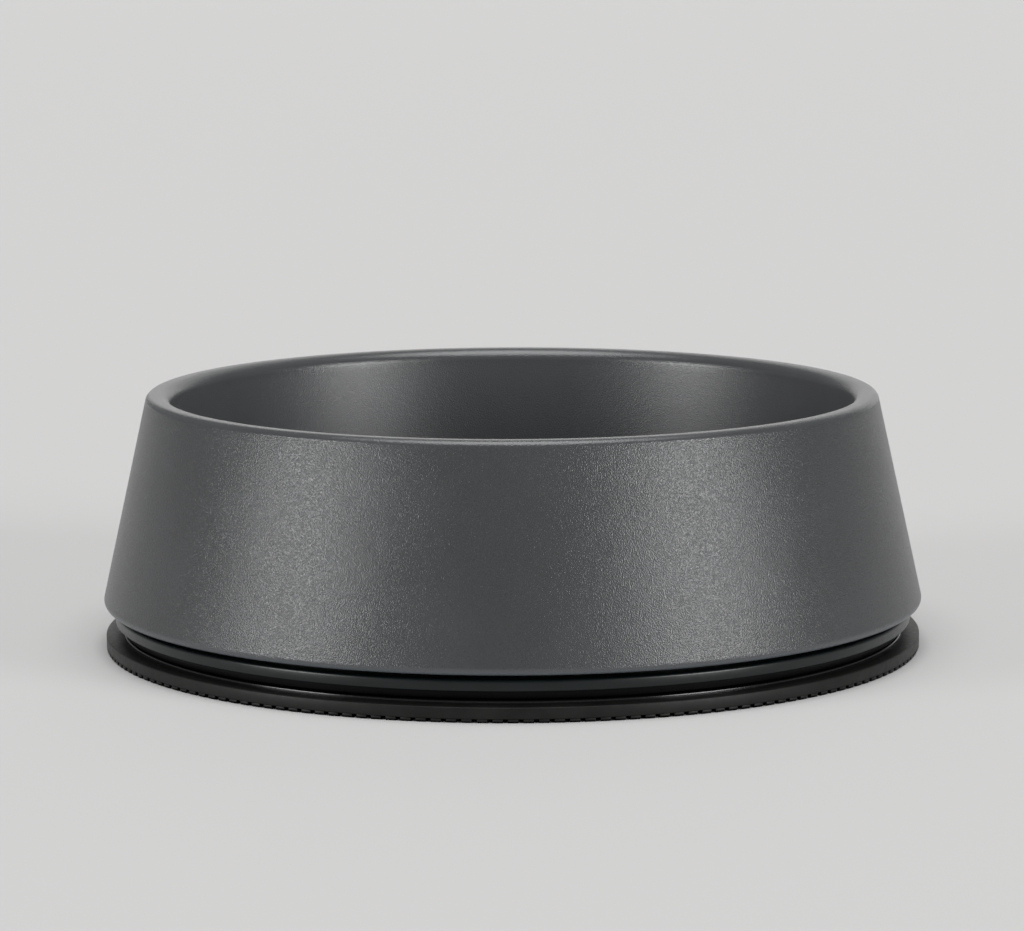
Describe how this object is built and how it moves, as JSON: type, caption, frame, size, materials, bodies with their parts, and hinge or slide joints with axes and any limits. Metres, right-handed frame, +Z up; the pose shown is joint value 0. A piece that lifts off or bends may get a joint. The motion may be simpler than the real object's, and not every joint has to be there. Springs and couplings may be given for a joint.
{
  "type": "pet bowl",
  "caption": "Round tapered double-walled steel pet bowl that lifts off a black non-slip base with a ribbed rubber foot ring.",
  "frame": {"origin": "centre of the base on the floor it stands on", "axes": "+Z up along the axis of revolution; X and Y alike, because the bowl is round"},
  "size_m": [0.1998, 0.1998, 0.062],
  "materials": {
    "powder_coat": "charcoal powder coat with a fine orange peel, satin",
    "carrier_plastic": "black, fine moulded texture",
    "grip_rubber": "black, matt, with a smooth shiny lip"
  },
  "bodies": {
    "base": {"base_carrier": "carrier_plastic", "grip_ring": "grip_rubber"},
    "bowl": {"inner_bowl": "powder_coat", "outer_shell": "powder_coat", "base_plate": "powder_coat"}
  },
  "joints": [
    {"name": "bowl_lift", "type": "slide", "parent": "base", "child": "bowl", "axis": [0, 0, 1], "range_m": [0, 0.05]}
  ]
}
